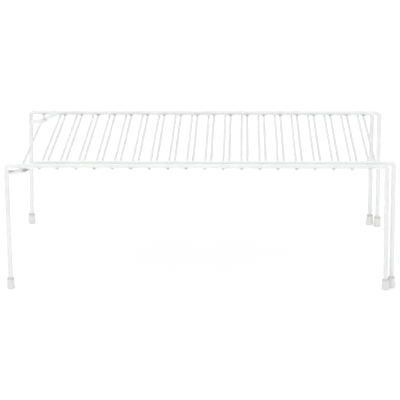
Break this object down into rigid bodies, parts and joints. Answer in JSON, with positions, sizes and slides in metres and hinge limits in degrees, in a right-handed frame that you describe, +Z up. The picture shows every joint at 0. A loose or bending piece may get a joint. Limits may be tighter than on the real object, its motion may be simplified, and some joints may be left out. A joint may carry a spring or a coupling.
{
  "type": "expandable wire cabinet shelf",
  "caption": "Free-standing coated wire shelf for a cabinet or counter; a narrower unit with its own legs nests in the main one and shifts out sideways to make it longer.",
  "frame": {"origin": "centre of the collapsed shelf's bounding box, on the surface that its foot caps stand on", "axes": "+Z up, +X along the rails towards the end that extends, -Y to the front"},
  "size_m": [0.4144, 0.2254, 0.1382],
  "materials": {
    "frame_wire_coating": "glossy white coating over steel wire",
    "rung_coating": "glossy white coating over thin steel wire",
    "foot_vinyl": "milky soft vinyl, satin"
  },
  "bodies": {
    "main_shelf": {"main_front_frame_wire": "frame_wire_coating", "main_front_left_foot_cap": "foot_vinyl", "main_front_right_foot_cap": "foot_vinyl", "main_rear_frame_wire": "frame_wire_coating", "main_rear_left_foot_cap": "foot_vinyl", "main_rear_right_foot_cap": "foot_vinyl", "main_rung_01": "rung_coating", "main_rung_02": "rung_coating", "main_rung_03": "rung_coating", "main_rung_04": "rung_coating", "main_rung_05": "rung_coating", "main_rung_06": "rung_coating", "main_rung_07": "rung_coating", "main_rung_08": "rung_coating", "main_rung_09": "rung_coating", "main_rung_10": "rung_coating", "main_rung_11": "rung_coating", "main_rung_12": "rung_coating", "main_rung_13": "rung_coating", "main_rung_14": "rung_coating", "main_rung_15": "rung_coating", "main_rung_16": "rung_coating", "main_rung_17": "rung_coating", "main_rung_18": "rung_coating", "main_rung_19": "rung_coating", "main_rung_20": "rung_coating"},
    "extension_shelf": {"extension_front_foot_cap": "foot_vinyl", "extension_front_frame_wire": "frame_wire_coating", "extension_rear_foot_cap": "foot_vinyl", "extension_rear_frame_wire": "frame_wire_coating", "extension_rung_01": "rung_coating", "extension_rung_02": "rung_coating", "extension_rung_03": "rung_coating", "extension_rung_04": "rung_coating", "extension_rung_05": "rung_coating", "extension_rung_06": "rung_coating", "extension_rung_07": "rung_coating", "extension_rung_08": "rung_coating", "extension_rung_09": "rung_coating", "extension_rung_10": "rung_coating", "extension_rung_11": "rung_coating", "extension_rung_12": "rung_coating", "extension_rung_13": "rung_coating", "extension_rung_14": "rung_coating", "extension_rung_15": "rung_coating", "extension_rung_16": "rung_coating", "extension_rung_17": "rung_coating", "extension_rung_18": "rung_coating", "extension_rung_19": "rung_coating"}
  },
  "joints": [
    {"name": "extension_slide", "type": "slide", "parent": "main_shelf", "child": "extension_shelf", "axis": [1, 0, 0], "range_m": [0, 0.2286]}
  ]
}
